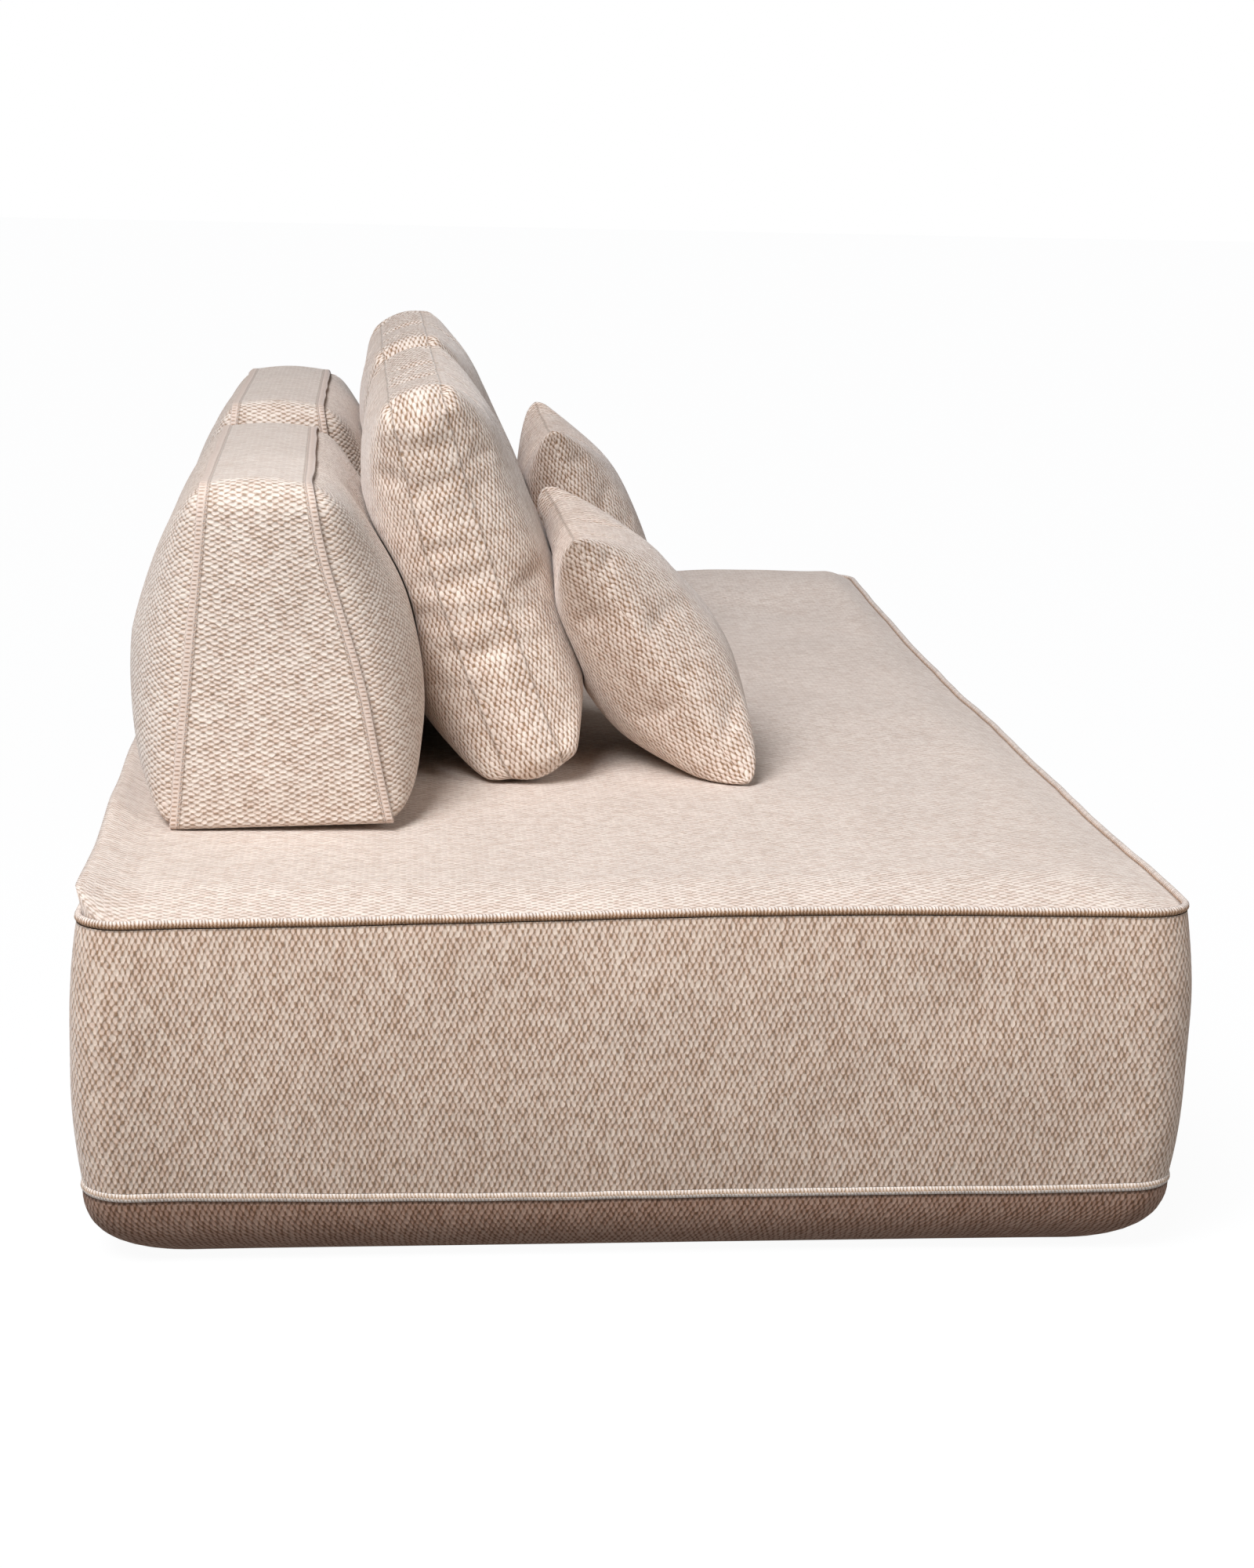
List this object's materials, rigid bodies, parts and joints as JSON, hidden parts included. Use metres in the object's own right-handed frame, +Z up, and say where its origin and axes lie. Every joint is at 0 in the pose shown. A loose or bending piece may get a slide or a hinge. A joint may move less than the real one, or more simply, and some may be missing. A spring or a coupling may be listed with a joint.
{
  "type": "sofa",
  "caption": "Low, deep modular sofa: upholstered base with corded seams, loose weighted wedge backrests, leaning back cushions and scatter cushions.",
  "frame": {"origin": "middle of the footprint, on the floor", "axes": "+X along the length towards the sitter's left, +Y to the rear, +Z up; the front faces -Y"},
  "size_m": [2.207, 1.2366, 0.9336],
  "materials": {
    "seat_fabric": "chunky woven, pinkish beige",
    "piping": "woven over cord",
    "side_fabric": "chunky woven, pinkish beige",
    "lower_fabric": "chunky woven, in shade",
    "dust_cloth": "thin, matt",
    "wadding": "fibre",
    "foam": "open foam",
    "plywood": "sawn",
    "blocks": "sawn",
    "webbing": "woven strap",
    "glide": "matt",
    "screw": "zinc plated",
    "weight": "matt paint",
    "grip_mat": "ribbed",
    "backrest_trim": "chunky woven, pinkish beige",
    "backrest_fabric": "chunky woven, pinkish beige",
    "zip_slider": "satin",
    "zip": "woven tape",
    "filling": "down-proof cotton",
    "boxing_fabric": "chunky woven, pinkish beige",
    "cushion_fabric": "chunky woven, pinkish beige",
    "scatter_fabric": "chunky woven, pinkish beige"
  },
  "bodies": {
    "base": {"seat_top_panel": "seat_fabric", "top_piping": "piping", "side_band": "side_fabric", "lower_piping": "piping", "lower_band": "lower_fabric", "dust_cloth": "dust_cloth", "seat_wadding": "wadding", "seat_foam": "foam", "edge_foam": "foam", "lower_edge_foam": "foam", "front_rail": "plywood", "rear_rail": "plywood", "end_rails": "plywood", "cross_rails": "plywood", "corner_blocks": "blocks", "webbing_long": "webbing", "webbing_cross": "webbing", "glides": "glide", "glide_screws": "screw"},
    "backrest_right": {"backrest_right_gusset": "backrest_trim", "backrest_right_front_panel": "backrest_fabric", "backrest_right_rear_panel": "backrest_fabric", "backrest_right_front_flange": "backrest_trim", "backrest_right_rear_flange": "backrest_trim", "backrest_right_foam": "foam", "backrest_right_board": "plywood", "backrest_right_weight": "weight", "backrest_right_grip_mat": "grip_mat"},
    "backrest_left": {"backrest_left_gusset": "backrest_trim", "backrest_left_front_panel": "backrest_fabric", "backrest_left_rear_panel": "backrest_fabric", "backrest_left_front_flange": "backrest_trim", "backrest_left_rear_flange": "backrest_trim", "backrest_left_foam": "foam", "backrest_left_board": "plywood", "backrest_left_weight": "weight", "backrest_left_grip_mat": "grip_mat"},
    "cushion_right": {"cushion_right_front_panel": "cushion_fabric", "cushion_right_rear_panel": "cushion_fabric", "cushion_right_boxing": "boxing_fabric", "cushion_right_filling": "filling", "cushion_right_zip": "zip"},
    "cushion_right_slider": {"cushion_right_zip_slider": "zip_slider"},
    "cushion_left": {"cushion_left_front_panel": "cushion_fabric", "cushion_left_rear_panel": "cushion_fabric", "cushion_left_boxing": "boxing_fabric", "cushion_left_filling": "filling", "cushion_left_zip": "zip"},
    "cushion_left_slider": {"cushion_left_zip_slider": "zip_slider"},
    "scatter_right": {"scatter_right_front_cover": "scatter_fabric", "scatter_right_rear_cover": "scatter_fabric", "scatter_right_insert": "filling", "scatter_right_zip": "zip"},
    "scatter_right_slider": {"scatter_right_zip_slider": "zip_slider"},
    "scatter_left": {"scatter_left_front_cover": "scatter_fabric", "scatter_left_rear_cover": "scatter_fabric", "scatter_left_insert": "filling", "scatter_left_zip": "zip"},
    "scatter_left_slider": {"scatter_left_zip_slider": "zip_slider"}
  },
  "joints": [
    {"name": "backrest_right_slide", "type": "slide", "parent": "base", "child": "backrest_right", "axis": [0, -1, 0], "range_m": [0, 0.3]},
    {"name": "cushion_right_lift", "type": "slide", "parent": "backrest_right", "child": "cushion_right", "axis": [0, 0, 1], "range_m": [0, 0.5]},
    {"name": "cushion_right_zip", "type": "slide", "parent": "cushion_right", "child": "cushion_right_slider", "axis": [1, 0, 0], "range_m": [0, 0.26]},
    {"name": "scatter_right_lift", "type": "slide", "parent": "cushion_right", "child": "scatter_right", "axis": [0, 0, 1], "range_m": [0, 0.4]},
    {"name": "scatter_right_zip", "type": "slide", "parent": "scatter_right", "child": "scatter_right_slider", "axis": [0.9986, 0.0308, 0.0423], "range_m": [0, 0.14]},
    {"name": "backrest_left_slide", "type": "slide", "parent": "base", "child": "backrest_left", "axis": [0, -1, 0], "range_m": [0, 0.3]},
    {"name": "cushion_left_lift", "type": "slide", "parent": "backrest_left", "child": "cushion_left", "axis": [0, 0, 1], "range_m": [0, 0.5]},
    {"name": "cushion_left_zip", "type": "slide", "parent": "cushion_left", "child": "cushion_left_slider", "axis": [1, 0, 0], "range_m": [0, 0.26]},
    {"name": "scatter_left_lift", "type": "slide", "parent": "cushion_left", "child": "scatter_left", "axis": [0, 0, 1], "range_m": [0, 0.4]},
    {"name": "scatter_left_zip", "type": "slide", "parent": "scatter_left", "child": "scatter_left_slider", "axis": [0.9998, 0.0063, 0.0163], "range_m": [0, 0.14]}
  ]
}
